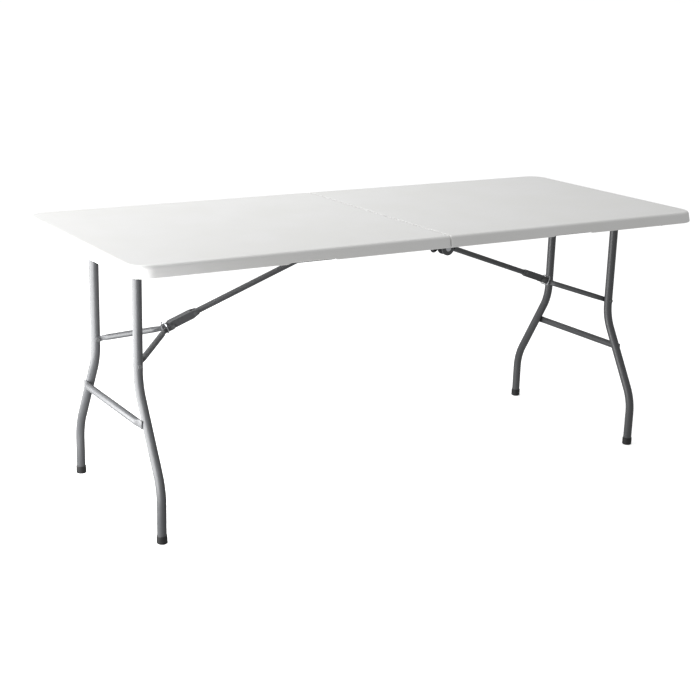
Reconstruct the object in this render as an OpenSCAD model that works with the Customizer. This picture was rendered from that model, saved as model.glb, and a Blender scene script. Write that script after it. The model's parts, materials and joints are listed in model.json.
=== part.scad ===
// Folding picnic table, 180 x 75 x 74 cm. Two moulded top halves hinge at the middle on steel
// side rails. A wishbone leg frame folds under each half, held open by a toggle brace.
// Frame: millimetres, +Z up, X along the table, origin on the floor under its centre.
// Every piece is drawn for the right-hand half (+X) and mirrored for the left-hand half.

/* [Table top] */
// Length of the open table
top_len = 1800; // [1780:5:1860]
// Width of the table
top_w = 750; // [740:2:800]
// Height of the top surface above the floor
top_h = 740; // [740:1:760]
// Depth of the rim round each half
rim_h = 31; // [31:0.5:33]
// Thickness of the panel inside the rim
slab_t = 13; // [12:0.5:13]
// Thickness of the rim wall
rim_t = 12; // [9:0.5:12]
// Plan radius of the four outer corners
corner_r = 60; // [50:1:70]
// Gap between the two halves at the fold
fold_gap = 3; // [2:0.5:4]
// Depth of the finger recess in each front rim
grip_depth = 3.5; // [2:0.5:5]
// Length of the finger recess in each front rim
grip_len = 137; // [100:1:160]

/* [Side rails] */
// Distance of each rail's centre line from the table's centre line
rail_y = 349; // [345:0.5:349]
// Outer width of the left half's rails, whose hinge ears go outside the right half's
outer_rail_w = 24; // [24:0.5:25]
// Outer width of the right half's rails
inner_rail_w = 20; // [19:0.5:20]
// Thickness of the rail's sheet
rail_t = 1.5; // [1:0.1:1.5]
// Radius of the round ears of the centre hinge
ear_r = 19; // [17:0.5:19]
// Radius of the centre hinge's pins
hinge_pin_r = 5; // [4:0.5:6]

/* [Leg frames] */
// Distance of each leg frame from the table's centre
leg_x = 787; // [780:1:790]
// Outside radius of the leg tubes
leg_r = 12.5; // [12:0.1:12.5]
// Wall of the leg tubes
leg_wall = 1.2; // [1:0.1:2]
// Radius of the tube that carries the tops of the legs
pivot_r = 13; // [12.8:0.1:13]
// Radius of the journals at that tube's ends, which the leg frame turns on
journal_r = 8; // [7:0.5:9]
// Distance of each leg from the centre line at its top
leg_top_y = 142; // [140:0.5:145]
// Height at which the upper bend of the leg begins
bend_top_z = 418; // [416:0.5:420]
// Radius of the upper bend, on the tube's centre line
upper_bend_r = 147; // [140:1:150]
// Radius of the lower bend, on the tube's centre line
lower_bend_r = 153; // [145:1:155]
// Angle of the splayed part of the leg
splay = 29.7; // [29:0.1:30]
// Length of the straight splayed part
splay_len = 192; // [188:1:196]
// Height of the cross bar
bar_z = 290; // [285:1:292]
// Radius of the cross bar
bar_r = 10; // [9:0.5:11]

/* [Brace] */
// Distance of the brace's top pivot from the table's centre
top_pivot_x = 30; // [28:0.5:34]
// Height of the rivets that join the arms to the legs
arm_rivet_z = 430; // [428:0.5:434]
// Radius of the brace tube and of the two arms
brace_r = 8; // [7:0.25:8]
// How far the toggle pin sits below the brace tube's axis
toggle_drop = 4.5; // [3.5:0.5:4.5]
// Radius of the wire of the lock ring
ring_wire_r = 1.5; // [1.2:0.1:1.5]

/* [Feet] */
// Outside radius of the foot caps
foot_r = 14.2; // [14:0.1:14.5]
// Height of the foot caps
foot_h = 22; // [18:1:26]

/* [Hidden] */
$fn = 64;
left = -1;
right = 1;
front = -1;
back = 1;
hair = 0.05;                                   // radial clearance of a running fit
cut = 1;                                       // overshoot of a cutting solid
ceiling_z = top_h - slab_t;                    // underside of the panel inside the rim
rim_z = top_h - rim_h;                         // bottom edge of the rim
hinge_z = rim_z - 4;                           // axis that the table folds about
leg_pivot_z = ceiling_z - 16;                  // axis that a leg frame folds about
bush_hole_r = journal_r + 1.2;                 // hole in the rail for the pivot bush
journal_start = rail_y - 19;                   // where the pivot tube steps down to its journals
pivot_half = rail_y - 4;                       // half length of the pivot tube
pivot_wall = 1.5;
top_pivot_z = hinge_z - 2;                     // axis of the brace's cross tube
cross_r = 7;                                   // radius of the brace's cross tube
cross_half = rail_y - 4;                       // half length of the brace's cross tube
knuckle_r = 10;                                // radius of the knuckle on the cross tube
knuckle_half = 14;                             // half length of that knuckle

rail_end = top_len / 2 - 50;                   // outer end of the side rails
rail_z = rim_z - 1;                            // bottom edge of the rails
screw_xs = [100, 350, 600, 830];               // places of the rail screws along a half
screw_r = 2;
notch_y = 3;                                   // start, length and depth of the notch in the end rim
notch_len = 70;
notch_depth = 10;
screw_top_z = top_h - 4;                       // highest point of a screw in the panel

bend_lap = 0.5;                                // overlap of a straight and a bend
foot_floor = 4;                                // sole under the end of the leg tube
bend_bottom_z = bend_top_z - (upper_bend_r + lower_bend_r) * sin(splay) - splay_len * cos(splay);
leg_foot_y = leg_top_y + (upper_bend_r + lower_bend_r) * (1 - cos(splay)) + splay_len * sin(splay);
bar_leg_y = leg_top_y + upper_bend_r * (1 - cos(splay))
    + (bend_top_z - upper_bend_r * sin(splay) - bar_z) * tan(splay);
bar_plate_t = 3;
bar_x = leg_x + leg_r + 0.1 + bar_plate_t / 2; // middle plane of the cross bar's flat ends
bar_plate_h = 22;

// The brace runs from the top pivot to the arm rivets. Its two lengths add up to that distance
// when the legs are down, and differ by the distance left when the legs are folded.
brace_dx = leg_x - top_pivot_x;
brace_dz = top_pivot_z - arm_rivet_z;
brace_slope = atan(brace_dz / brace_dx);
brace_span = norm([brace_dx, brace_dz]);
leg_fold = 88;                                 // where the cross bar comes to rest under the brace
stowed_span = brace_dx - (leg_pivot_z - arm_rivet_z) * sin(leg_fold);
toggle_s = (brace_span + stowed_span) / 2;     // top pivot to toggle pin, along the tube
arm_run = brace_span - toggle_s;
arm_len = norm([arm_run, toggle_drop]);        // toggle pin to arm rivet
arm_tilt = atan(toggle_drop / arm_run);
bracket_start = toggle_s - 84;
bracket_end = toggle_s + 10;
bracket_half = brace_r + 2.6;                  // half width of the channel bracket
bracket_t = 2.5;
bracket_low = -11;
bracket_high = brace_r + 2.2;
tongue_end = toggle_s + 26;
tongue_low = -9;
tongue_h = 18;
ring_s = toggle_s + 17;                        // place of the lock ring along the tube
ring_half_w = 17.1;                            // half width of the ring, on the wire's centre
ring_half_h = 13.4;                            // half height of the ring, on the wire's centre
ring_bend_r = 6;                               // radius of its corners, on the wire's centre
plate_t = 2.6;                                 // thickness of the arms' flattened ends
plate_r = 7.5;
toggle_pin_r = 4;
arm_in_y = bracket_half + 0.8 + plate_t / 2;   // middle plane of the arm's toggle end
arm_out_y = leg_top_y - leg_r - 0.6 - plate_t / 2;
arm_flat_in = 24;                              // flat length beyond the toggle pin
arm_flat_out = 12;                             // flat length before the leg rivet
arm_neck = 16;                                 // length over which the tube is flattened
arm_slant_x = arm_len - arm_flat_in - arm_flat_out;
arm_spread = atan((arm_out_y - arm_in_y) / arm_slant_x);
arm_slant = norm([arm_slant_x, arm_out_y - arm_in_y]);
arm_rivet_r = 3;
head_t = 2.4;
head_r = 5.5;

white_hdpe = "#EDEDEC";
grey_steel = "#4A4B4D";
zinc = "#C9CACB";
black_rubber = "#1B1B1C";
nylon = "#2A2A2B";

// ---- placing -------------------------------------------------------------------------------

// Draws for the right half as it is, and for the left half mirrored
module on_side(side) {
    if (side < 0) mirror([1, 0, 0]) children();
    else children();
}

// Draws for the back as it is, and for the front mirrored
module on_end(end) {
    if (end < 0) mirror([0, 1, 0]) children();
    else children();
}

// Draws on both the front and the back
module both_ends() {
    for (end = [front, back]) on_end(end) children();
}

// A cylinder along Y between two distances from the centre line
module rod_y(r, y0, y1) {
    translate([0, y1, 0]) rotate([90, 0, 0]) cylinder(h = y1 - y0, r = r);
}

// Puts children into the brace's own frame: X down along the tube from the top pivot, Z up
module brace_frame() {
    translate([top_pivot_x, 0, top_pivot_z]) rotate([0, brace_slope, 0]) children();
}

// Puts children at the toggle pin, X towards the arm rivets
module arm_frame() {
    brace_frame() translate([toggle_s, 0, -toggle_drop]) rotate([0, -arm_tilt, 0]) children();
}

function rail_width(side) = side < 0 ? outer_rail_w : inner_rail_w;

// ---- table top -----------------------------------------------------------------------------

// A half's plan outline, set in from the edge, as a solid between two heights
module half_block(inset, z0, z1) {
    x0 = fold_gap / 2 + inset;
    x1 = top_len / 2 - inset;
    half_w = top_w / 2 - inset;
    r = corner_r - inset;
    translate([0, 0, z0]) linear_extrude(z1 - z0) union() {
        translate([x0, -half_w]) square([x1 - r - x0, 2 * half_w]);
        translate([x0, r - half_w]) square([x1 - x0, 2 * (half_w - r)]);
        for (y = [r - half_w, half_w - r]) translate([x1 - r, y]) circle(r);
    }
}

module panel(side) {
    slot_w = outer_rail_w + 5;
    color(white_hdpe) on_side(side) difference() {
        half_block(0, rim_z, top_h);
        half_block(rim_t, rim_z - cut, ceiling_z);
        // clear the fold-edge rim where the rails pass through it
        both_ends() translate([0, rail_y - slot_w / 2 - 2, rim_z - cut])
            cube([fold_gap / 2 + rim_t + cut, slot_w + 1.5, ceiling_z - rim_z + cut]);
        // finger recess in the front rim
        translate([350, -top_w / 2 - cut, rim_z - cut])
            cube([grip_len, rim_t + 2 * cut, grip_depth + cut]);
        // notch in the end rim
        translate([top_len / 2 - rim_t - cut, notch_y, rim_z - cut])
            cube([rim_t + 2 * cut, notch_len, notch_depth + cut]);
        for (x = screw_xs) both_ends() translate([x, rail_y, ceiling_z - cut])
            cylinder(h = screw_top_z - ceiling_z + cut + 0.5, r = screw_r + hair);
    }
}

// ---- side rails and centre hinge ------------------------------------------------------------

// One upright web of a rail. The inner one also carries the leg pivot and the brace's cross tube
module rail_web(y, carries) {
    translate([0, y + rail_t, 0]) rotate([90, 0, 0]) linear_extrude(rail_t) difference() {
        union() {
            translate([0, rail_z]) square([rail_end, ceiling_z - rail_z]);
            translate([0, hinge_z]) circle(ear_r);
            if (carries) translate([leg_x, leg_pivot_z]) circle(bush_hole_r + 1.7);
            if (carries) translate([top_pivot_x, top_pivot_z]) circle(cross_r + 4);
        }
        translate([0, hinge_z]) circle(hinge_pin_r + hair);
        if (carries) translate([leg_x, leg_pivot_z]) circle(bush_hole_r);
        if (carries) translate([top_pivot_x, top_pivot_z]) circle(cross_r + hair);
    }
}

// A channel, open downwards, screwed up against the panel
module rail(side, end) {
    w = rail_width(side);
    color(grey_steel) on_side(side) on_end(end) difference() {
        union() {
            rail_web(rail_y - w / 2, true);
            rail_web(rail_y + w / 2 - rail_t, false);
            translate([ear_r + 1, rail_y - w / 2, ceiling_z - rail_t])
                cube([rail_end - ear_r - 1, w, rail_t]);
        }
        for (x = screw_xs) translate([x, rail_y, ceiling_z - rail_t - cut])
            cylinder(h = rail_t + 2 * cut, r = screw_r + 0.3);
    }
}

module rail_screws(side) {
    head_h = 2.2;
    color(zinc) on_side(side) for (x = screw_xs) both_ends()
        translate([x, rail_y, ceiling_z - rail_t]) {
            translate([0, 0, -head_h]) cylinder(h = head_h, r = 2 * screw_r);
            cylinder(h = screw_top_z - ceiling_z + rail_t, r = screw_r);
        }
}

// The rivet that both halves' rail ears turn on
module hinge_pin(end) {
    y0 = rail_y - outer_rail_w / 2 - 0.1;
    y1 = rail_y + outer_rail_w / 2 + 0.1;
    color(zinc) on_end(end) translate([0, 0, hinge_z]) {
        rod_y(hinge_pin_r, y0, y1);
        rod_y(hinge_pin_r + 3, y0 - 1.2, y0);
        rod_y(hinge_pin_r + 3, y1, y1 + 1.2);
    }
}

module cross_tube(side) {
    color(grey_steel) on_side(side) translate([top_pivot_x, 0, top_pivot_z]) difference() {
        rod_y(cross_r, -cross_half, cross_half);
        rod_y(cross_r - 1.5, -cross_half - cut, cross_half + cut);
    }
}

// ---- leg frames ------------------------------------------------------------------------------

// Bushes with a flange on the table's side, in the rails' inner webs, which the pivot tube turns in
module pivot_bushes(side) {
    web_y = rail_y - rail_width(side) / 2;
    collar_t = 1.4;
    color(nylon) on_side(side) both_ends() translate([leg_x, 0, leg_pivot_z]) difference() {
        union() {
            rod_y(bush_hole_r - hair, web_y - collar_t, web_y + rail_t + collar_t);
            rod_y(bush_hole_r + 1.5, web_y - collar_t, web_y - hair);
        }
        rod_y(journal_r + hair, web_y - collar_t - cut, web_y + rail_t + collar_t + cut);
    }
}

// The tube on top of the legs, swaged down to a journal at each end
module pivot_tube(side) {
    color(grey_steel) on_side(side) translate([leg_x, 0, leg_pivot_z]) difference() {
        union() {
            rod_y(pivot_r, -journal_start, journal_start);
            rod_y(journal_r, -pivot_half, pivot_half);
        }
        rod_y(pivot_r - pivot_wall, pivot_wall - journal_start, journal_start - pivot_wall);
        rod_y(journal_r - pivot_wall, -pivot_half - cut, pivot_half + cut);
    }
}

// A straight length in the leg's own plane, from a point and at an angle from X. It starts a
// little before that point, so that it laps over the bend there
module straight(x, y, angle, len, r) {
    translate([x, y, 0]) rotate([0, 0, angle]) rotate([0, 90, 0]) translate([0, 0, -bend_lap])
        cylinder(h = len + bend_lap, r = r);
}

// A bend in the leg's own plane, about a centre. It is 0.1 mm thinner than the straights, which
// cover its ends
module bend(x, y, from_angle, bend_r, r) {
    translate([x, y, 0]) rotate([0, 0, from_angle])
        rotate_extrude(angle = splay) translate([bend_r, 0]) circle(r - 0.1);
}

// The leg's whole path, X outwards and Y up, with any radius
module leg_path(r, extra) {
    straight(leg_top_y, bend_top_z, 90, leg_pivot_z - bend_top_z + extra, r);
    bend(leg_top_y + upper_bend_r, bend_top_z, 180, upper_bend_r, r);
    straight(leg_foot_y - lower_bend_r * (1 - cos(splay)), bend_bottom_z + lower_bend_r * sin(splay),
        90 + splay, splay_len + bend_lap, r);
    bend(leg_foot_y - lower_bend_r, bend_bottom_z, 0, lower_bend_r, r);
    straight(leg_foot_y, bend_bottom_z, -90, bend_bottom_z - foot_floor + extra, r);
}

module leg(side, end) {
    color(grey_steel) on_side(side) on_end(end) difference() {
        translate([leg_x, 0, 0]) rotate([90, 0, 90]) difference() {
            leg_path(leg_r, 0);
            leg_path(leg_r - leg_wall, cut);
        }
        // saddle that fits the pivot tube
        translate([leg_x, 0, leg_pivot_z])
            rod_y(pivot_r + hair, leg_top_y - 2 * leg_r, leg_top_y + 2 * leg_r);
        translate([leg_x, 0, arm_rivet_z])
            rod_y(arm_rivet_r + hair, leg_top_y - 2 * leg_r, leg_top_y + 2 * leg_r);
    }
}

// A round bar whose ends are pressed flat and lie on the outer faces of the legs. The ends of
// each neck are a little smaller than what they meet and lie inside it
module crossbar(side) {
    flat_y = bar_leg_y - 14;
    round_y = flat_y - 16;
    end_y = bar_leg_y + 2;
    small = 0.15;
    color(grey_steel) on_side(side) translate([bar_x, 0, bar_z]) {
        rod_y(bar_r, -round_y, round_y);
        both_ends() {
            hull() {
                rod_y(bar_r - small, round_y - 1, round_y - 0.99);
                translate([small - bar_plate_t / 2, flat_y + 1, small - bar_plate_h / 2])
                    cube([bar_plate_t - 2 * small, 0.01, bar_plate_h - 2 * small]);
            }
            translate([-bar_plate_t / 2, flat_y, -bar_plate_h / 2])
                cube([bar_plate_t, end_y - flat_y, bar_plate_h]);
        }
    }
}

module foot(side, end) {
    wall_r = leg_r + hair;
    color(black_rubber) on_side(side) on_end(end) translate([leg_x, leg_foot_y, 0])
        rotate_extrude() polygon([
            [0, 0], [foot_r - 2, 0], [foot_r, 2], [foot_r, foot_h - 1], [foot_r - 1, foot_h],
            [wall_r, foot_h], [wall_r, foot_floor - hair], [0, foot_floor - hair]
        ]);
}

// Rivets that join the two arms to the two legs
module arm_rivets(side) {
    in_y = arm_out_y - plate_t / 2 - 0.1;
    out_y = leg_top_y + leg_r + 0.1;
    color(zinc) on_side(side) both_ends() translate([leg_x, 0, arm_rivet_z]) {
        rod_y(arm_rivet_r, in_y, out_y);
        rod_y(head_r, in_y - head_t, in_y);
        rod_y(head_r, out_y, out_y + head_t);
    }
}

// ---- brace -----------------------------------------------------------------------------------

module brace_knuckle(side) {
    color(grey_steel) on_side(side) brace_frame() difference() {
        rod_y(knuckle_r, -knuckle_half, knuckle_half);
        rod_y(cross_r + hair, -knuckle_half - cut, knuckle_half + cut);
    }
}

module brace_tube(side) {
    tube_end = toggle_s - 22;
    color(grey_steel) on_side(side) brace_frame() difference() {
        rotate([0, 90, 0]) cylinder(h = tube_end, r = brace_r);
        translate([-cut, 0, 0]) rotate([0, 90, 0]) cylinder(h = tube_end + 2 * cut, r = brace_r - 1.5);
        rod_y(knuckle_r + hair, -knuckle_half, knuckle_half);
        translate([bracket_start + 12, 0, 0]) rod_y(2.5 + hair, -2 * brace_r, 2 * brace_r);
    }
}

// Channel on the end of the tube, with a narrow tongue beyond it for the lock ring
module brace_bracket(side) {
    lead = 6;
    taper = 20;
    tongue_half = 5;
    color(grey_steel) on_side(side) brace_frame() difference() {
        union() {
            for (y = [-bracket_half, bracket_half - bracket_t])
                translate([0, y + bracket_t, 0]) rotate([90, 0, 0]) linear_extrude(bracket_t)
                    polygon([
                        [bracket_start, 2 - brace_r], [bracket_start + taper, bracket_low],
                        [bracket_end - 8, bracket_low], [bracket_end, bracket_low + lead],
                        [bracket_end, bracket_high - lead], [bracket_end - 10, bracket_high],
                        [bracket_start + taper, bracket_high], [bracket_start, brace_r - 2]
                    ]);
            translate([bracket_start + taper, -bracket_half, bracket_high - 1.9])
                cube([bracket_end - 10 - bracket_start - taper, 2 * bracket_half, 1.9]);
            translate([toggle_s - 18, bracket_t - bracket_half - 0.5, tongue_low])
                cube([bracket_end - toggle_s + 14, 2 * (bracket_half - bracket_t) + 1, tongue_h]);
            translate([toggle_s, -tongue_half, tongue_low])
                cube([tongue_end - toggle_s, 2 * tongue_half, tongue_h]);
        }
        translate([toggle_s, 0, -toggle_drop]) rod_y(toggle_pin_r + hair, -20, 20);
        translate([bracket_start + 12, 0, 0]) rod_y(2.5 + hair, -20, 20);
    }
}

module bracket_rivet(side) {
    color(grey_steel) on_side(side) brace_frame() translate([bracket_start + 12, 0, 0]) {
        rod_y(2.5, -bracket_half, bracket_half);
        rod_y(4.5, bracket_half, bracket_half + 0.6);
        rod_y(4.5, -bracket_half - 0.6, -bracket_half);
    }
}

// One arm of the brace's fork: a tube with a flat at each end, bent out to reach the leg
module arm(side, end) {
    color(grey_steel) on_side(side) arm_frame() on_end(end) difference() {
        union() {
            arm_flat_end(0, arm_in_y, 1, arm_flat_in);
            arm_flat_end(arm_len, arm_out_y, -1, arm_flat_out);
            translate([arm_flat_in, arm_in_y, 0]) rotate([0, 0, arm_spread])
                translate([arm_neck, 0, 0]) rotate([0, 90, 0])
                    cylinder(h = arm_slant - 2 * arm_neck, r = brace_r);
            arm_neck_piece(arm_flat_in, arm_in_y, 1);
            arm_neck_piece(arm_len - arm_flat_out, arm_out_y, -1);
        }
        rod_y(toggle_pin_r + hair, 0, 30);
        translate([arm_len, 0, 0]) rod_y(arm_rivet_r + hair, arm_out_y - 10, arm_out_y + 10);
    }
}

// Flat with a round end about a pin; dir says which way the arm leaves it
module arm_flat_end(x, y, dir, len) {
    translate([x, 0, 0]) {
        rod_y(plate_r, y - plate_t / 2, y + plate_t / 2);
        translate([dir > 0 ? 0 : -len, y - plate_t / 2, -plate_r]) cube([len, plate_t, 2 * plate_r]);
    }
}

// Where the round tube is pressed into the flat. Its ends are a little smaller than what they
// meet and lie inside it
module arm_neck_piece(x, y, dir) {
    small = 0.15;
    hull() {
        translate([x - dir, y - plate_t / 2 + small, small - plate_r])
            cube([0.01, plate_t - 2 * small, 2 * (plate_r - small)]);
        translate([x, y, 0]) rotate([0, 0, arm_spread]) translate([dir * (arm_neck + 1), 0, 0])
            rotate([0, 90, 0]) cylinder(h = 0.01, r = brace_r - small, center = true, $fn = 32);
    }
}

// Shouldered pins that hold the arms on the bracket
module toggle_rivets(side) {
    color(zinc) on_side(side) arm_frame() both_ends() {
        rod_y(toggle_pin_r, bracket_half + 0.6, arm_in_y + plate_t / 2 + 0.1);
        rod_y(head_r, arm_in_y + plate_t / 2 + 0.1, arm_in_y + plate_t / 2 + 1.2);
    }
}

// Wire ring round the tongue and both arms, which slides up over the bracket to free them. Its
// straight sides lap a little over the corners
module lock_ring(side) {
    half_x = ring_half_w - ring_bend_r;
    half_y = ring_half_h - ring_bend_r;
    lap = 0.3;
    color(zinc) on_side(side) brace_frame() translate([ring_s, 0, -0.9]) rotate([90, 0, 90]) {
        for (i = [0:3])
            translate([(i == 0 || i == 3 ? 1 : -1) * half_x, (i < 2 ? 1 : -1) * half_y, 0])
                rotate([0, 0, 90 * i]) rotate_extrude(angle = 90)
                    translate([ring_bend_r, 0]) circle(ring_wire_r - 0.05, $fn = 32);
        for (s = [-1, 1]) {
            translate([-half_x - lap, s * ring_half_h, 0]) rotate([0, 90, 0])
                cylinder(h = 2 * (half_x + lap), r = ring_wire_r, $fn = 32);
            translate([s * ring_half_w, half_y + lap, 0]) rotate([90, 0, 0])
                cylinder(h = 2 * (half_y + lap), r = ring_wire_r, $fn = 32);
        }
    }
}

// ---- the assembly ------------------------------------------------------------------------------

panel(left);  // left_panel
panel(right);  // right_panel
rail(left, front);  // left_rail_front
rail(left, back);  // left_rail_back
rail(right, front);  // right_rail_front
rail(right, back);  // right_rail_back
rail_screws(left);  // left_rail_screws
rail_screws(right);  // right_rail_screws
hinge_pin(front);  // hinge_pin_front
hinge_pin(back);  // hinge_pin_back
cross_tube(left);  // left_cross_tube
cross_tube(right);  // right_cross_tube
pivot_bushes(left);  // left_pivot_bushes
pivot_bushes(right);  // right_pivot_bushes
pivot_tube(left);  // left_pivot_tube
pivot_tube(right);  // right_pivot_tube
leg(left, front);  // left_leg_front
leg(left, back);  // left_leg_back
leg(right, front);  // right_leg_front
leg(right, back);  // right_leg_back
crossbar(left);  // left_crossbar
crossbar(right);  // right_crossbar
foot(left, front);  // left_foot_front
foot(left, back);  // left_foot_back
foot(right, front);  // right_foot_front
foot(right, back);  // right_foot_back
arm_rivets(left);  // left_arm_rivets
arm_rivets(right);  // right_arm_rivets
brace_knuckle(left);  // left_brace_knuckle
brace_knuckle(right);  // right_brace_knuckle
brace_tube(left);  // left_brace_tube
brace_tube(right);  // right_brace_tube
brace_bracket(left);  // left_brace_bracket
brace_bracket(right);  // right_brace_bracket
bracket_rivet(left);  // left_bracket_rivet
bracket_rivet(right);  // right_bracket_rivet
arm(left, front);  // left_arm_front
arm(left, back);  // left_arm_back
arm(right, front);  // right_arm_front
arm(right, back);  // right_arm_back
toggle_rivets(left);  // left_toggle_rivets
toggle_rivets(right);  // right_toggle_rivets
lock_ring(left);  // left_lock_ring
lock_ring(right);  // right_lock_ring
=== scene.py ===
# %% [markdown]
# # A folding picnic table
# The table is a CAD model of painted steel tube under a moulded plastic top. This lesson gives
# it a camera, soft studio light and real finishes, and rebuilds the pieces whose shape needs
# more than CAD gave them: the two halves of the top, the cross bars and the fork arms.

# %% Load the CAD frame
import json
import math

import bmesh
import bpy
from mathutils import Matrix, Vector


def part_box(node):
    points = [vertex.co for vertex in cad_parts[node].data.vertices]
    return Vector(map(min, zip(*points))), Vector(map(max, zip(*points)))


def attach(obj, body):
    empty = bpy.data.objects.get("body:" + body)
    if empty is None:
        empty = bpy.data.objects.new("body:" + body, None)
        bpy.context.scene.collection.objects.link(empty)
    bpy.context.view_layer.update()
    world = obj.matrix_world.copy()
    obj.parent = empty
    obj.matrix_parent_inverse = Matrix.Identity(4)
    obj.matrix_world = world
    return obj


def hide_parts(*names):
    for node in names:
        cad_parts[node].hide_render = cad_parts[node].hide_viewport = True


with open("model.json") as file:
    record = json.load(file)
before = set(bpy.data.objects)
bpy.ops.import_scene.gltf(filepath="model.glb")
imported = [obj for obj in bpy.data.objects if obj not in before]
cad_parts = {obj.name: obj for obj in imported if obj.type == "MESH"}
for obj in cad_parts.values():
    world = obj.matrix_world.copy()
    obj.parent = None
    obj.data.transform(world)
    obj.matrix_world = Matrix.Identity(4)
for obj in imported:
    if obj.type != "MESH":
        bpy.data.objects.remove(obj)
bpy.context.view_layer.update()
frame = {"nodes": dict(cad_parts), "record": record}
MM = 0.001
SIDES = {"left": -1, "right": 1}
ENDS = {"front": -1, "back": 1}
print("CAD nodes:", len(frame["nodes"]))

# %% [markdown]
# ## Camera
# The table is seen from its left front, from a little above the top, with a long lens. A
# camera's three axes are its right, its up and the opposite of where it looks. The small roll
# tips the picture, so it turns right and up about the line of sight.

# %% Place the camera
LOOK_AZIMUTH = math.radians(32.35)
LOOK_DOWN = math.radians(16.08)
ROLL = math.radians(1.66)
CAMERA_PLACE = Vector((-2.0894, -3.1918, 1.4314))
LENS_MM = 70.0
SENSOR_MM = 36.0


def make_camera():
    look = Vector((math.sin(LOOK_AZIMUTH) * math.cos(LOOK_DOWN),
                   math.cos(LOOK_AZIMUTH) * math.cos(LOOK_DOWN),
                   -math.sin(LOOK_DOWN)))
    right = look.cross(Vector((0, 0, 1))).normalized()
    up = right.cross(look)
    rolled_right = math.cos(ROLL) * right + math.sin(ROLL) * up
    rolled_up = math.cos(ROLL) * up - math.sin(ROLL) * right
    camera = bpy.data.objects.new("camera", bpy.data.cameras.new("camera"))
    camera.data.lens = LENS_MM
    camera.data.sensor_width = SENSOR_MM
    axes = Matrix((rolled_right, rolled_up, -look)).transposed()
    camera.matrix_world = Matrix.Translation(CAMERA_PLACE) @ axes.to_4x4()
    bpy.context.collection.objects.link(camera)
    return camera


bpy.context.scene.camera = make_camera()
print("camera at", tuple(round(v, 2) for v in CAMERA_PLACE))

# %% [markdown]
# ## Studio
# White plastic shows its shape only if one side is darker than the other. One soft light stands
# close by the left legs, at their height, and turns the left end pure white. A larger one hangs
# high behind the table and is aimed at its left half. The long front face is left in shade. The
# world looks white but gives only a dim even fill, and the floor throws no light back up, so the
# painted steel keeps a dark side.

# %% Floor, world and lights
FLOOR_HALF = 40.0
FLOOR_WHITE = 0.93
FLOOR_ROUGHNESS = 0.9
FLOOR_GLOW = 0.62
WORLD_FILL = 0.45
# Each light's place and target in metres, its width and height in metres, and its watts.
LIGHTS = {
    "left_softbox": ((-1.25, 0.15, 0.42), (-0.75, 0.15, 0.42), 1.5, 0.8, 34),
    "top_softbox": ((-0.8, 1.2, 3.0), (-0.45, 0.1, 0.7), 2.6, 2.2, 54),
}

scene = bpy.context.scene
scene.view_settings.view_transform = "Standard"


def make_floor():
    mesh = bpy.data.meshes.new("floor")
    half = FLOOR_HALF
    corners = [(-half, -half, 0), (half, -half, 0), (half, half, 0), (-half, half, 0)]
    mesh.from_pydata(corners, [], [(0, 1, 2, 3)])
    floor = bpy.data.objects.new("floor", mesh)
    bpy.context.collection.objects.link(floor)
    material = bpy.data.materials.new("matt_white_floor")
    material.use_nodes = True
    shader = material.node_tree.nodes["Principled BSDF"]
    shader.inputs["Base Color"].default_value = (FLOOR_WHITE, FLOOR_WHITE, FLOOR_WHITE, 1)
    shader.inputs["Roughness"].default_value = FLOOR_ROUGHNESS
    shader.inputs["Emission Color"].default_value = (1, 1, 1, 1)
    shader.inputs["Emission Strength"].default_value = FLOOR_GLOW
    mesh.materials.append(material)
    floor.visible_diffuse = False
    floor.visible_glossy = False


def make_light(name, place, target, width, height, watts):
    data = bpy.data.lights.new(name, "AREA")
    data.shape = "RECTANGLE"
    data.size = width
    data.size_y = height
    data.energy = watts
    light = bpy.data.objects.new(name, data)
    light.location = place
    light.rotation_euler = (Vector(target) - Vector(place)).to_track_quat("-Z", "Y").to_euler()
    light.visible_camera = False
    bpy.context.collection.objects.link(light)


def make_world(fill):
    """A white backdrop that lights the table with only a part of its brightness."""
    world = bpy.data.worlds.new("pale_studio")
    world.use_nodes = True
    tree = world.node_tree
    background = tree.nodes["Background"]
    background.inputs["Color"].default_value = (1, 1, 1, 1)
    ray = tree.nodes.new("ShaderNodeLightPath")
    strength = tree.nodes.new("ShaderNodeMapRange")
    strength.inputs["To Min"].default_value = fill
    strength.inputs["To Max"].default_value = 1.0
    tree.links.new(ray.outputs["Is Camera Ray"], strength.inputs["Value"])
    tree.links.new(strength.outputs["Result"], background.inputs["Strength"])
    scene.world = world


make_floor()
make_world(WORLD_FILL)
for light_name, light_settings in LIGHTS.items():
    make_light(light_name, *light_settings)

# %% [markdown]
# ## Tools for materials
# Colours are written as the hex values a paint chart gives, and turned to the linear numbers
# that a shader wants. One function adds a node with its settings and links, so each finish
# below reads as a list of what it is made of.

# %% Colour and node helpers


def linear(hex_colour):
    """An sRGB hex colour as linear red, green, blue and alpha."""
    def channel(value):
        return value / 12.92 if value <= 0.04045 else ((value + 0.055) / 1.055) ** 2.4
    digits = hex_colour.lstrip("#")
    return tuple(channel(int(digits[i:i + 2], 16) / 255) for i in (0, 2, 4)) + (1.0,)


def add_node(material, kind, **sockets):
    """Adds a node. A link is socket_name=(node, output name) and a plain value sets the socket."""
    node = material.node_tree.nodes.new(kind)
    for name, value in sockets.items():
        socket = node.inputs[name.replace("_", " ")]
        if isinstance(value, tuple) and isinstance(value[0], bpy.types.Node):
            material.node_tree.links.new(value[0].outputs[value[1]], socket)
        else:
            socket.default_value = value
    return node


def new_material(name, base, roughness, metallic=0.0, ior=None):
    """A material with a Principled shader, and the shader."""
    material = bpy.data.materials.new(name)
    material.use_nodes = True
    shader = material.node_tree.nodes["Principled BSDF"]
    shader.inputs["Base Color"].default_value = linear(base)
    shader.inputs["Roughness"].default_value = roughness
    shader.inputs["Metallic"].default_value = metallic
    if ior:
        shader.inputs["IOR"].default_value = ior
    return material, shader


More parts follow.
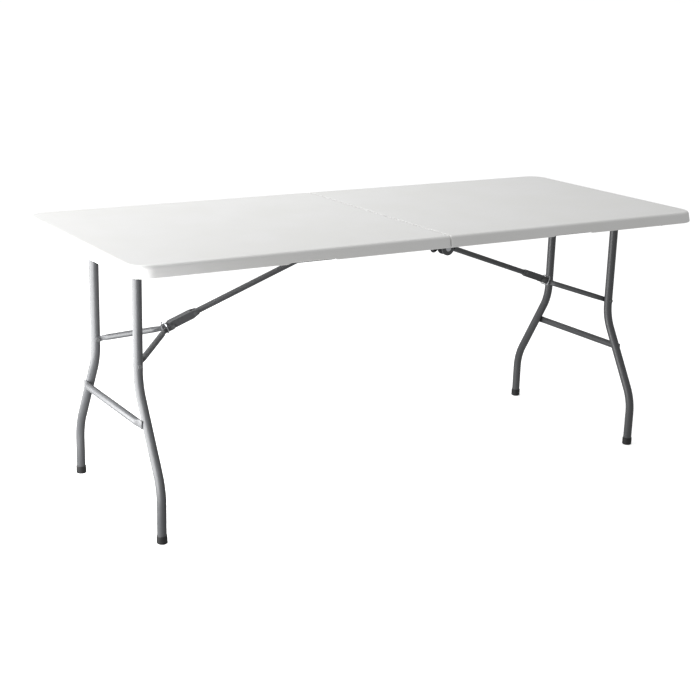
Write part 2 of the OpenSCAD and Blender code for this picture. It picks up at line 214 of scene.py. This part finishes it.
def connect(material, node, output, shader, socket):
    material.node_tree.links.new(node.outputs[output], shader.inputs[socket])


print("white plastic #EDEDEC is linear", [round(v, 3) for v in linear("#EDEDEC")])

# %% [markdown]
# ## Blow-moulded HDPE
# The top is high-density polyethylene, blown hot against a mould whose face is sandblasted or
# etched. That leaves a fine pebble grain, a soft broad sheen, and a faint unevenness where the
# wall cooled at different speeds. The IOR of HDPE is 1.54. The real grain is about 1 mm and too
# fine to show, so it is drawn at 1.6 mm, and scuffs show as patches of slightly different gloss.

# %% White top


def make_hdpe():
    material, shader = new_material("blow_moulded_hdpe_white", "#ECECEB", 0.46, ior=1.54)
    place = add_node(material, "ShaderNodeTexCoord")
    grain_mm, cooling_mm, scuff_mm = 1.6, 160.0, 45.0
    grain = add_node(material, "ShaderNodeTexNoise", Vector=(place, "Object"),
                     Scale=1000 / grain_mm, Detail=3.0, Roughness=0.55)
    cooling = add_node(material, "ShaderNodeTexNoise", Vector=(place, "Object"),
                       Scale=1000 / cooling_mm, Detail=2.0)
    scuffs = add_node(material, "ShaderNodeTexNoise", Vector=(place, "Object"),
                      Scale=1000 / scuff_mm, Detail=5.0, Roughness=0.65)
    tint = add_node(material, "ShaderNodeValToRGB", Fac=(cooling, "Fac"))
    tint.color_ramp.elements[0].position = 0.35
    tint.color_ramp.elements[0].color = linear("#EBEBE9")
    tint.color_ramp.elements[1].position = 0.65
    tint.color_ramp.elements[1].color = linear("#EDEDEC")
    gloss = add_node(material, "ShaderNodeMapRange", Value=(scuffs, "Fac"),
                     From_Min=0.3, From_Max=0.7, To_Min=0.42, To_Max=0.50)
    height = add_node(material, "ShaderNodeBump", Height=(grain, "Fac"),
                      Strength=0.35, Distance=0.15 * MM)
    sag = add_node(material, "ShaderNodeBump", Height=(cooling, "Fac"), Normal=(height, "Normal"),
                   Strength=0.15, Distance=0.4 * MM)
    connect(material, tint, "Color", shader, "Base Color")
    connect(material, gloss, "Result", shader, "Roughness")
    connect(material, sag, "Normal", shader, "Normal")
    return material


hdpe = make_hdpe()
print("made", hdpe.name)

# %% [markdown]
# ## Powder-coated steel
# Tubes and rails are mild steel, sprayed with dry grey polyester powder and baked. The film
# melts into a satin skin with a slight orange peel, about 2 mm from crest to crest. It is
# paint, so it isn't metallic and its IOR is about 1.5, and a thin surface layer helps the long
# highlight that runs down each tube. Its tone drifts a little from place to place.

# %% Grey powder coat


def make_powder_coat():
    material, shader = new_material("powder_coated_steel_grey", "#454648", 0.46, ior=1.5)
    place = add_node(material, "ShaderNodeTexCoord")
    peel_mm, batch_mm = 2.0, 120.0
    peel = add_node(material, "ShaderNodeTexNoise", Vector=(place, "Object"),
                    Scale=1000 / peel_mm, Detail=2.0)
    batch = add_node(material, "ShaderNodeTexNoise", Vector=(place, "Object"),
                     Scale=1000 / batch_mm, Detail=6.0, Roughness=0.6)
    tint = add_node(material, "ShaderNodeValToRGB", Fac=(batch, "Fac"))
    tint.color_ramp.elements[0].position = 0.3
    tint.color_ramp.elements[0].color = linear("#424345")
    tint.color_ramp.elements[1].position = 0.7
    tint.color_ramp.elements[1].color = linear("#4A4B4D")
    gloss = add_node(material, "ShaderNodeMapRange", Value=(batch, "Fac"),
                     From_Min=0.3, From_Max=0.7, To_Min=0.42, To_Max=0.52)
    bump = add_node(material, "ShaderNodeBump", Height=(peel, "Fac"),
                    Strength=0.3, Distance=0.06 * MM)
    shader.inputs["Coat Weight"].default_value = 0.15
    shader.inputs["Coat Roughness"].default_value = 0.3
    connect(material, tint, "Color", shader, "Base Color")
    connect(material, gloss, "Result", shader, "Roughness")
    connect(material, bump, "Normal", shader, "Normal")
    return material


powder_coat = make_powder_coat()
print("made", powder_coat.name)

# %% [markdown]
# ## Zinc, rivets, polyethylene and nylon
# Screws, hinge pins and the lock rings are bright zinc-plated steel: a metal, soft-edged in its
# reflections, with a faint cloudy spangle a few millimetres across. Rivet heads were painted with
# the tubes and then rubbed, which bares the metal in patches. Their paint is also made a little
# lighter than what they hold, a painted highlight for the bright crown of each domed head. The
# foot caps are moulded black polyethylene, matt and scratched by floors. The pivot bushes are
# black nylon.

# %% Zinc plate, rivets, foot caps and bushes


def make_zinc():
    material, shader = new_material("zinc_plated_steel", "#C3C5C8", 0.3, metallic=1.0)
    place = add_node(material, "ShaderNodeTexCoord")
    spangle_mm = 3.0
    spangle = add_node(material, "ShaderNodeTexNoise", Vector=(place, "Object"),
                       Scale=1000 / spangle_mm, Detail=3.0)
    gloss = add_node(material, "ShaderNodeMapRange", Value=(spangle, "Fac"),
                     From_Min=0.3, From_Max=0.7, To_Min=0.22, To_Max=0.42)
    connect(material, gloss, "Result", shader, "Roughness")
    return material


def make_rivet_paint():
    # The grey is lighter than the tubes' paint: a painted highlight on the rivet heads. The noise
    # below bares the metal where the paint is rubbed.
    material, shader = new_material("rivet_paint_lightened_as_painted_highlight", "#5B5C5D", 0.34, ior=1.5)
    place = add_node(material, "ShaderNodeTexCoord")
    rub_mm = 5.0
    rub = add_node(material, "ShaderNodeTexNoise", Vector=(place, "Object"),
                   Scale=1000 / rub_mm, Detail=4.0, Roughness=0.6)
    bare = add_node(material, "ShaderNodeMapRange", Value=(rub, "Fac"),
                    From_Min=0.5, From_Max=0.7, To_Min=0.0, To_Max=0.6)
    connect(material, bare, "Result", shader, "Metallic")
    return material


def make_moulded_black(name, colour, rough_from, rough_to, scratch_mm):
    material, shader = new_material(name, colour, rough_to, ior=1.5)
    place = add_node(material, "ShaderNodeTexCoord")
    scratch = add_node(material, "ShaderNodeTexNoise", Vector=(place, "Object"),
                       Scale=1000 / scratch_mm, Detail=6.0, Roughness=0.7)
    gloss = add_node(material, "ShaderNodeMapRange", Value=(scratch, "Fac"),
                     From_Min=0.3, From_Max=0.7, To_Min=rough_from, To_Max=rough_to)
    bump = add_node(material, "ShaderNodeBump", Height=(scratch, "Fac"),
                    Strength=0.3, Distance=0.1 * MM)
    connect(material, gloss, "Result", shader, "Roughness")
    connect(material, bump, "Normal", shader, "Normal")
    return material


zinc = make_zinc()
rivet_paint = make_rivet_paint()
foot_pe = make_moulded_black("moulded_polyethylene_black", "#151516", 0.45, 0.7, 4.0)
nylon = make_moulded_black("moulded_nylon_black", "#1E1E1F", 0.3, 0.45, 9.0)
print("made", zinc.name, rivet_paint.name, foot_pe.name, nylon.name)

# %% [markdown]
# ## Finishes on the CAD pieces
# A CAD piece whose shape is right keeps it and only takes a finish. The record already says
# which finish each piece has, so one table turns that into a material.

# %% Give each CAD piece its finish
FINISH = {"top_panel": hdpe, "steel": powder_coat, "zinc": zinc, "rivet": rivet_paint,
          "nylon": nylon, "foot": foot_pe}

for part in frame["record"]["subparts"]:
    cad_mesh = frame["nodes"][part["node"]].data
    cad_mesh.materials.clear()
    cad_mesh.materials.append(FINISH[part["material_slot"]])

# %% [markdown]
# ## Broken edges
# No real edge is perfectly sharp: sheet is deburred, a rivet's head is domed by the tool that
# forms it, and a moulded cap has a small radius. A bevel modifier rounds those edges and leaves
# the CAD vertices alone.

# %% Round the edges of sheet, rivets and caps
EDGE_MM = {"rail_front": 0.4, "rail_back": 0.4, "brace_bracket": 0.7, "arm_rivets": 1.5,
           "toggle_rivets": 0.5, "bracket_rivet": 0.3, "foot_front": 0.6, "foot_back": 0.6}
BEVEL_STEPS = 3
BEVEL_DEGREES = 50


def round_edges(piece, width):
    bevel = piece.modifiers.new("broken_edges", "BEVEL")
    bevel.width = width
    bevel.segments = BEVEL_STEPS
    bevel.limit_method = "ANGLE"
    bevel.angle_limit = math.radians(BEVEL_DEGREES)


for side_name in SIDES:
    for piece_name, edge in EDGE_MM.items():
        round_edges(frame["nodes"][side_name + "_" + piece_name], edge * MM)
print("rounded", 2 * len(EDGE_MM), "pieces")

# %% [markdown]
# ## The moulded top halves
# A blow-moulded half is one skin that turns over its edge: a flat top, a rounded shoulder, a
# wall that leans out a little so that it leaves the mould, a rim, and then back up inside to
# the underside. It is drawn as rings. Each ring is the half's outline set in by some distance,
# at some height, and neighbouring rings are joined by faces. The underside is pushed up in a
# grid of dimples, where the two skins are welded together to stiffen the panel.

# %% Sizes of a half, from the CAD boxes
panel_low, panel_high = (Vector(c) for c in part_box("right_panel"))
FOLD_X = panel_low.x
END_X = panel_high.x
HALF_W = panel_high.y
RIM_Z = panel_low.z
TOP_Z = panel_high.z
CORNER_R = 60 * MM
RIM_T = 12 * MM
CEILING_Z = TOP_Z - 13 * MM
CELLS_X = 126
CELLS_Y = 96
print("a half is", [round(v, 3) for v in panel_high - panel_low])

# %% The outline of a half
ARC_STEPS = 14
FOLD_CORNER_R = 2.5 * MM
FOLD_STEPS = 4


def outline(inset, fold_inset):
    """Points round a half, counter-clockwise from its front corner at the fold."""
    x0 = FOLD_X + fold_inset
    x1 = END_X - inset
    half = HALF_W - inset
    r = max(CORNER_R - inset, 0.0)
    xf = x0 + FOLD_CORNER_R
    yf = half - FOLD_CORNER_R

    def fold_arc(y, from_angle):
        turns = [math.radians(from_angle + 90 * i / FOLD_STEPS) for i in range(FOLD_STEPS)]
        return [(xf + FOLD_CORNER_R * math.cos(a), y + FOLD_CORNER_R * math.sin(a)) for a in turns]

    points = fold_arc(-yf, 180)
    points += [(xf + (x1 - r - xf) * i / CELLS_X, -half) for i in range(CELLS_X)]
    for i in range(ARC_STEPS):
        a = math.radians(-90 + 90 * i / ARC_STEPS)
        points.append((x1 - r + r * math.cos(a), r - half + r * math.sin(a)))
    points += [(x1, (r - half) * (1 - 2 * i / CELLS_Y)) for i in range(CELLS_Y)]
    for i in range(ARC_STEPS):
        a = math.radians(90 * i / ARC_STEPS)
        points.append((x1 - r + r * math.cos(a), half - r + r * math.sin(a)))
    points += [(x1 - r - (x1 - r - xf) * i / CELLS_X, half) for i in range(CELLS_X)]
    points += fold_arc(yf, 90)
    points += [(x0, yf * (1 - 2 * i / CELLS_Y)) for i in range(CELLS_Y)]
    return points


print("points round a half:", len(outline(0.0, 0.0)))

# %% [markdown]
# The rim's section could be one hand-drawn profile, but then its radii would be hidden in a list
# of points. Worked out as arcs, each radius is one number: the shoulder's, which catches the
# light along the top, and the small one at the rim's foot.

# %% The section of the rim
LEAN = 4 * MM
SHOULDER_R = 10 * MM
FOLD_SHOULDER_R = 3 * MM
SHOULDER_STEPS = 8
FLAT_INSET = 40 * MM
FLAT_FOLD_INSET = 30 * MM
EDGE_MARGIN = 3 * MM
EDGE_FOLD_INSET = 6 * MM
RIM_FOOT_R = 3 * MM
OUTER_STEPS = 5
INNER_STEPS = 3
FILLET = 4 * MM
FILLET_MIDDLE = 1.2 * MM


def rim_section():
    """The rings as (inset, inset at the fold, height), from the flat top round to the inside."""
    rows = [(FLAT_INSET, FLAT_FOLD_INSET, TOP_Z),
            (LEAN + SHOULDER_R + EDGE_MARGIN, EDGE_FOLD_INSET, TOP_Z)]
    for step in range(SHOULDER_STEPS + 1):
        a = math.radians(90 * step / SHOULDER_STEPS)
        rows.append((LEAN + SHOULDER_R * (1 - math.sin(a)), FOLD_SHOULDER_R * (1 - math.sin(a)),
                     TOP_Z - SHOULDER_R * (1 - math.cos(a))))
    for step in range(OUTER_STEPS + 1):
        a = math.radians(90 * step / OUTER_STEPS)
        rows.append((RIM_FOOT_R * (1 - math.cos(a)), RIM_FOOT_R * (1 - math.cos(a)) / 2,
                     RIM_Z + RIM_FOOT_R * (1 - math.sin(a))))
    for step in range(INNER_STEPS + 1):
        a = math.radians(90 * step / INNER_STEPS)
        inner = RIM_T - RIM_FOOT_R * (1 - math.sin(a))
        rows.append((inner, inner, RIM_Z + RIM_FOOT_R * (1 - math.cos(a))))
    for inset, drop in ((0.0, FILLET), (FILLET_MIDDLE, FILLET_MIDDLE), (FILLET, 0.0)):
        rows.append((RIM_T + inset, RIM_T + inset, CEILING_Z - drop))
    rows.append((CORNER_R, CORNER_R, CEILING_Z))
    return rows


print("rings from the flat top to the underside:", len(rim_section()))

# %% [markdown]
# Two hollows are let into the rim's lower edge: a shallow one for the fingers in front, and a
# short notch at the end. Both are made by raising the rings near the edge, with soft ends. The
# dimples are a staggered grid, so each point only needs its distance to the nearest one.

# %% Hollows in the rim and dimples underneath
GRIP_FROM, GRIP_TO, GRIP_DEPTH = 348 * MM, 479 * MM, 3.5 * MM
NOTCH_FROM, NOTCH_TO, NOTCH_DEPTH = 1 * MM, 65 * MM, 10 * MM
HOLLOW_SOFT = 10 * MM
HOLLOW_FULL, HOLLOW_FADE = 4 * MM, 8 * MM
DIMPLE_PITCH = 48 * MM
DIMPLE_R = 13 * MM
DIMPLE_DEPTH = 7 * MM
DIMPLE_FLOOR, DIMPLE_WALL = 0.45 * DIMPLE_R, 0.55 * DIMPLE_R


def smooth_step(value, edge, width):
    t = min(max((value - edge) / width, 0.0), 1.0)
    return t * t * (3 - 2 * t)


def recess_height(x, y):
    """How far the rim's lower edge is raised: a finger recess in front, a notch at the end."""
    grip = smooth_step(x, GRIP_FROM, HOLLOW_SOFT) - smooth_step(x, GRIP_TO, HOLLOW_SOFT)
    notch = smooth_step(y, NOTCH_FROM, HOLLOW_SOFT) - smooth_step(y, NOTCH_TO, HOLLOW_SOFT)
    in_front = y < -HALF_W + 2 * RIM_T
    at_end = x > END_X - 2 * RIM_T
    return GRIP_DEPTH * grip * in_front + NOTCH_DEPTH * notch * at_end


def dimple_height(x, y):
    """How far the underside is pushed up at a point by the nearest dimple of a staggered grid."""
    row = round(y / DIMPLE_PITCH)
    shift = DIMPLE_PITCH / 2 if row % 2 else 0.0
    column = round((x - shift) / DIMPLE_PITCH)
    distance = math.hypot(x - shift - column * DIMPLE_PITCH, y - row * DIMPLE_PITCH)
    return DIMPLE_DEPTH * (1 - smooth_step(distance, DIMPLE_FLOOR, DIMPLE_WALL))


print("a dimple is", round(dimple_height(0.0, 0.0) / MM, 1), "mm deep")

# %% The skin of one half
WELD = 0.01 * MM


def half_mesh(name, side):
    mesh_data = bmesh.new()
    rings = []
    for inset, fold_inset, z in rim_section():
        ring = []
        for x, y in outline(inset, fold_inset):
            near_rim = 1 - smooth_step(z, RIM_Z + HOLLOW_FULL, HOLLOW_FADE)
            ring.append(mesh_data.verts.new((x, y, z + recess_height(x, y) * near_rim)))
        rings.append(ring)
    count = len(rings[0])
    mesh_data.faces.new(rings[0])
    for upper, lower in zip(rings, rings[1:]):
        for i in range(count):
            j = (i + 1) % count
            mesh_data.faces.new((upper[j], upper[i], lower[i], lower[j]))
    fill_underside(mesh_data)
    bmesh.ops.remove_doubles(mesh_data, verts=mesh_data.verts, dist=WELD)
    if side < 0:
        for vert in mesh_data.verts:
            vert.co.x = -vert.co.x
    bmesh.ops.recalc_face_normals(mesh_data, faces=mesh_data.faces)
    mesh = bpy.data.meshes.new(name)
    mesh_data.to_mesh(mesh)
    mesh_data.free()
    return mesh


def fill_underside(mesh_data):
    """The dimpled grid that closes the last ring."""
    x0, x1 = FOLD_X + CORNER_R, END_X - CORNER_R
    half = HALF_W - CORNER_R
    grid = []
    for i in range(CELLS_X + 1):
        column = []
        for j in range(CELLS_Y + 1):
            x = x0 + (x1 - x0) * i / CELLS_X
            y = half * (2 * j / CELLS_Y - 1)
            inside = 0 < i < CELLS_X and 0 < j < CELLS_Y
            z = CEILING_Z + (dimple_height(x, y) if inside else 0)
            column.append(mesh_data.verts.new((x, y, z)))
        grid.append(column)
    for i in range(CELLS_X):
        for j in range(CELLS_Y):
            mesh_data.faces.new((grid[i][j], grid[i][j + 1], grid[i + 1][j + 1], grid[i + 1][j]))


print("cells underneath:", CELLS_X * CELLS_Y)

# %% [markdown]
# The two side rails cross the rim at the fold. The slots for them could be built into the rings,
# but that would bend every ring round them, so they are cut out afterwards with a boolean.

# %% Cut the slots for the rails
SLOT_IN, SLOT_OUT = 5 * MM, 1.6 * MM
PAST_FOLD, PAST_RIM = 2 * MM, 3 * MM
BELOW_RIM, UNDER_CEILING = 5 * MM, 0.1 * MM


def box_object(name, low, high):
    mesh_data = bmesh.new()
    bmesh.ops.create_cube(mesh_data, size=1.0)
    centre = (Vector(low) + Vector(high)) / 2
    size = Vector(high) - Vector(low)
    for vert in mesh_data.verts:
        vert.co = Vector(vert.co[k] * size[k] + centre[k] for k in range(3))
    mesh = bpy.data.meshes.new(name)
    mesh_data.to_mesh(mesh)
    mesh_data.free()
    cutter = bpy.data.objects.new(name, mesh)
    bpy.context.collection.objects.link(cutter)
    return cutter


def cut_rail_slots(piece, side):
    """Cuts the fold-edge rim away where the two rails run through it."""
    rail_low, rail_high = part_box("left_rail_back")
    for end in ENDS.values():
        ys = sorted((end * (rail_low[1] - SLOT_IN), end * (rail_high[1] + SLOT_OUT)))
        xs = sorted((side * (FOLD_X - PAST_FOLD), side * (FOLD_X + RIM_T + PAST_RIM)))
        cutter = box_object("cutter", (xs[0], ys[0], RIM_Z - BELOW_RIM),
                            (xs[1], ys[1], CEILING_Z - UNDER_CEILING))
        modifier = piece.modifiers.new("rail_slot", "BOOLEAN")
        modifier.operation = "DIFFERENCE"
        modifier.solver = "EXACT"
        modifier.object = cutter
        evaluated = piece.evaluated_get(bpy.context.evaluated_depsgraph_get())
        piece.data = bpy.data.meshes.new_from_object(evaluated)
        piece.modifiers.clear()
        bpy.data.objects.remove(cutter)


print("mm of room beside a rail:", round(SLOT_IN / MM, 1), "and", round(SLOT_OUT / MM, 1))

# %% Put the two halves in place
HALF_SHARP_DEGREES = 38


def make_half(side_name):
    side = SIDES[side_name]
    name = side_name + "_moulded_half"
    piece = bpy.data.objects.new(name, half_mesh(name, side))
    bpy.context.collection.objects.link(piece)
    cut_rail_slots(piece, side)
    piece.data.materials.clear()
    piece.data.materials.append(hdpe)
    piece.data.shade_smooth()
    piece.data.set_sharp_from_angle(angle=math.radians(HALF_SHARP_DEGREES))
    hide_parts(side_name + "_panel")
    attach(piece, side_name + "_half")
    return piece


for side_name in SIDES:
    half = make_half(side_name)
    print(half.name, len(half.data.vertices), "vertices")

# %% [markdown]
# ## Tubes with pressed ends
# The cross bars and the fork arms start as round tube. A press squashes each end flat and a
# punch makes the hole. The section changes smoothly from a circle to a flat oval, which CAD can't
# draw simply, so both are lofted here: a ring of points at each station along the tube, joined to
# the next. The rivets' heads cover the holes, so no holes are cut.

# %% Loft a tube through stations
RING_STEPS = 36
TUBE_SHARP_DEGREES = 50


def section_ring(round_r, flat_half_h, flat_half_t, flatness):
    """A cross-section as (across, up), between a circle and a flat oval with round edges."""
    ring = []
    for i in range(RING_STEPS):
        a = math.tau * i / RING_STEPS
        circle = Vector((round_r * math.cos(a), round_r * math.sin(a)))
        straight = flat_half_h - flat_half_t
        flat = Vector((flat_half_t * math.cos(a),
                       flat_half_t * math.sin(a) + math.copysign(straight, math.sin(a))))
        if abs(math.sin(a)) < 1e-6:
            flat = Vector((flat_half_t * math.cos(a), 0.0))
        ring.append(circle.lerp(flat, flatness))
    return ring


def loft(name, stations, up):
    """stations are (centre, across, ring): across and up are the directions of a ring's numbers."""
    mesh_data = bmesh.new()
    rings = []
    for centre, across, ring in stations:
        rings.append([mesh_data.verts.new(centre + across * p.x + up * p.y) for p in ring])
    for low, high in zip(rings, rings[1:]):
        for i in range(len(low)):
            j = (i + 1) % len(low)
            mesh_data.faces.new((low[i], low[j], high[j], high[i]))
    mesh_data.faces.new(list(reversed(rings[0])))
    mesh_data.faces.new(rings[-1])
    bmesh.ops.recalc_face_normals(mesh_data, faces=mesh_data.faces)
    mesh = bpy.data.meshes.new(name)
    mesh_data.to_mesh(mesh)
    mesh_data.free()
    mesh.materials.append(powder_coat)
    mesh.shade_smooth()
    mesh.set_sharp_from_angle(angle=math.radians(TUBE_SHARP_DEGREES))
    piece = bpy.data.objects.new(name, mesh)
    bpy.context.collection.objects.link(piece)
    return piece


print("points in a tube's ring:", RING_STEPS)

# %% Loft the two cross bars
BAR_R = 10 * MM
BAR_FLAT_HALF_T = 1.5 * MM
BAR_FLAT = 16 * MM
BAR_NECK = 16 * MM
BAR_NECK_STEPS = 10


def bar_stations(half_len):
    """(place along the bar, flatness) for a bar that is flat at both ends."""
    stations = [(-half_len, 1.0), (-half_len + BAR_FLAT, 1.0)]
    for i in range(1, BAR_NECK_STEPS + 1):
        t = i / BAR_NECK_STEPS
        stations.append((-half_len + BAR_FLAT + BAR_NECK * t, 1 - smooth_step(t, 0, 1)))
    return stations + [(-place, flatness) for place, flatness in reversed(stations)]


def make_crossbar(side_name):
    node = side_name + "_crossbar"
    low, high = (Vector(c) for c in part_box(node))
    centre = (low + high) / 2
    half_h = (high.z - low.z) / 2
    stations = []
    for y, flatness in bar_stations(high.y):
        stations.append((Vector((centre.x, y, centre.z)), Vector((1, 0, 0)),
                         section_ring(BAR_R, half_h, BAR_FLAT_HALF_T, flatness)))
    piece = loft(node + "_pressed", stations, Vector((0, 0, 1)))
    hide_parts(node)
    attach(piece, side_name + "_leg_frame")
    return piece


for side_name in SIDES:
    print("made", make_crossbar(side_name).name)

# %% [markdown]
# ## The fork's arms
# Each arm leaves the toggle pin straight, bends out to reach its leg, and bends back to lie flat
# against it. Both ends are pressed flat and rounded about their rivets. It is drawn in its own
# frame, with X from the toggle pin to the leg's rivet.

# %% Loft the four arms
ARM_R = 8 * MM
ARM_FLAT_R = 7.5 * MM
ARM_FLAT_HALF_T = 1.3 * MM
ARM_FLAT_IN, ARM_FLAT_OUT, ARM_NECK = 24 * MM, 12 * MM, 18 * MM
BEND_HALF = 6 * MM
STATION_PITCH = 2 * MM
TIP_DEGREES = (88, 75, 60, 45, 30, 15)


def soft_ramp(u):
    """Zero before a bend and u after it, with a parabola between, and its slope."""
    if abs(u) < BEND_HALF:
        return (u + BEND_HALF) ** 2 / (4 * BEND_HALF), (u + BEND_HALF) / (2 * BEND_HALF)
    return (u, 1.0) if u > 0 else (0.0, 0.0)


def arm_places(length):
    """Places along an arm: close together on the round tips, then at an even pitch."""
    tip = [ARM_FLAT_R * math.sin(math.radians(a)) for a in TIP_DEGREES]
    count = round(length / STATION_PITCH)
    shaft = [length * i / count for i in range(count + 1)]
    return [-t for t in tip] + shaft + [length + t for t in reversed(tip)]


def arm_station(x, length, in_y, out_y):
    """Centre, across and ring of one station, in the arm's own frame."""
    slope = (out_y - in_y) / (length - ARM_FLAT_IN - ARM_FLAT_OUT)
    near, near_slope = soft_ramp(x - ARM_FLAT_IN)
    far, far_slope = soft_ramp(x - length + ARM_FLAT_OUT)
    heading = math.atan(slope * (near_slope - far_slope))
    past_tip = max(-x, x - length, 0.0)
    half_h = math.sqrt(max(ARM_FLAT_R ** 2 - past_tip ** 2, 0.0))
    rounded = smooth_step(x, ARM_FLAT_IN, ARM_NECK)
    flatness = 1 - rounded + smooth_step(x, length - ARM_FLAT_OUT - ARM_NECK, ARM_NECK)
    ring = section_ring(ARM_R, max(half_h, ARM_FLAT_HALF_T), ARM_FLAT_HALF_T, flatness)
    centre = Vector((x, in_y + slope * (near - far), 0))
    return centre, Vector((-math.sin(heading), math.cos(heading), 0)), ring


def box_centre(node):
    low, high = (Vector(c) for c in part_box(node))
    return (low + high) / 2


def make_arm(side_name, end_name):
    node = side_name + "_arm_" + end_name
    end = ENDS[end_name]
    toggle = box_centre(side_name + "_toggle_rivets")
    rivet = box_centre(side_name + "_arm_rivets")
    along = rivet - toggle
    length = along.length
    along.normalize()
    lateral = Vector((0, end, 0))
    up = along.cross(lateral)
    arm_low, arm_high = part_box(node)
    near_y, far_y = sorted((abs(arm_low[1]), abs(arm_high[1])))
    near_y += ARM_FLAT_HALF_T
    far_y -= ARM_FLAT_HALF_T
    stations = []
    for x in arm_places(length):
        centre, across, ring = arm_station(x, length, near_y, far_y)
        stations.append((toggle + along * centre.x + lateral * centre.y,
                         along * across.x + lateral * across.y, ring))
    piece = loft(node + "_pressed", stations, up)
    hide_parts(node)
    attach(piece, side_name + "_fork")
    return piece


for side_name in SIDES:
    for end_name in ENDS:
        print("made", make_arm(side_name, end_name).name)
